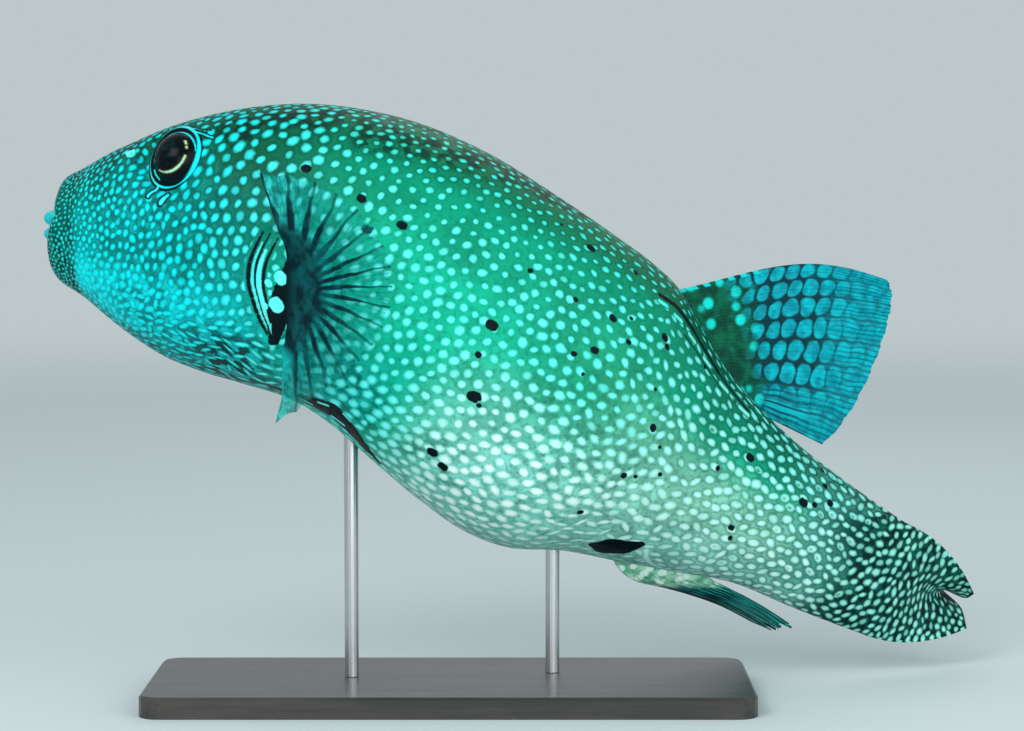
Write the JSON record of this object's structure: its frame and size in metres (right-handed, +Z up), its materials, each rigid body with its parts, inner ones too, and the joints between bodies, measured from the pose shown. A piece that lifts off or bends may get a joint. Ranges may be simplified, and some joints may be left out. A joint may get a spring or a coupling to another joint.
{
  "type": "spotted pufferfish model",
  "caption": "Life-size still model of a blue-spotted pufferfish swimming with its head up, held over a flat base by slim upright rods.",
  "frame": {"origin": "centre of the stand base's underside", "axes": "+X from the snout towards the tail fin, +Z up, -Y towards the fish's left side"},
  "size_m": [0.5463, 0.2429, 0.336],
  "materials": {
    "skin": "sea-green skin with pale aqua spots and black blotches, satin",
    "lip_skin": "dark green skin with fine pale spots, satin",
    "beak": "ivory tooth plate, polished",
    "eye": "black with a broken gold ring, high gloss",
    "fin": "dark rays in a pale spotted membrane, satin",
    "stand_wood": "black-stained hardwood, satin lacquer",
    "stand_steel": "brushed"
  },
  "bodies": {
    "root": {"head": "skin", "trunk": "skin", "tail": "skin", "upper_lip": "lip_skin", "lower_lip": "lip_skin", "upper_beak": "beak", "lower_beak": "beak", "nostril_left": "skin", "nostril_right": "skin", "eye_left": "eye", "eye_right": "eye", "dorsal_fin": "fin", "anal_fin": "fin", "caudal_fin": "fin", "pectoral_fin_left": "fin", "pectoral_fin_right": "fin", "stand_base": "stand_wood", "stand_rod_front": "stand_steel", "stand_rod_rear": "stand_steel"}
  },
  "joints": []
}
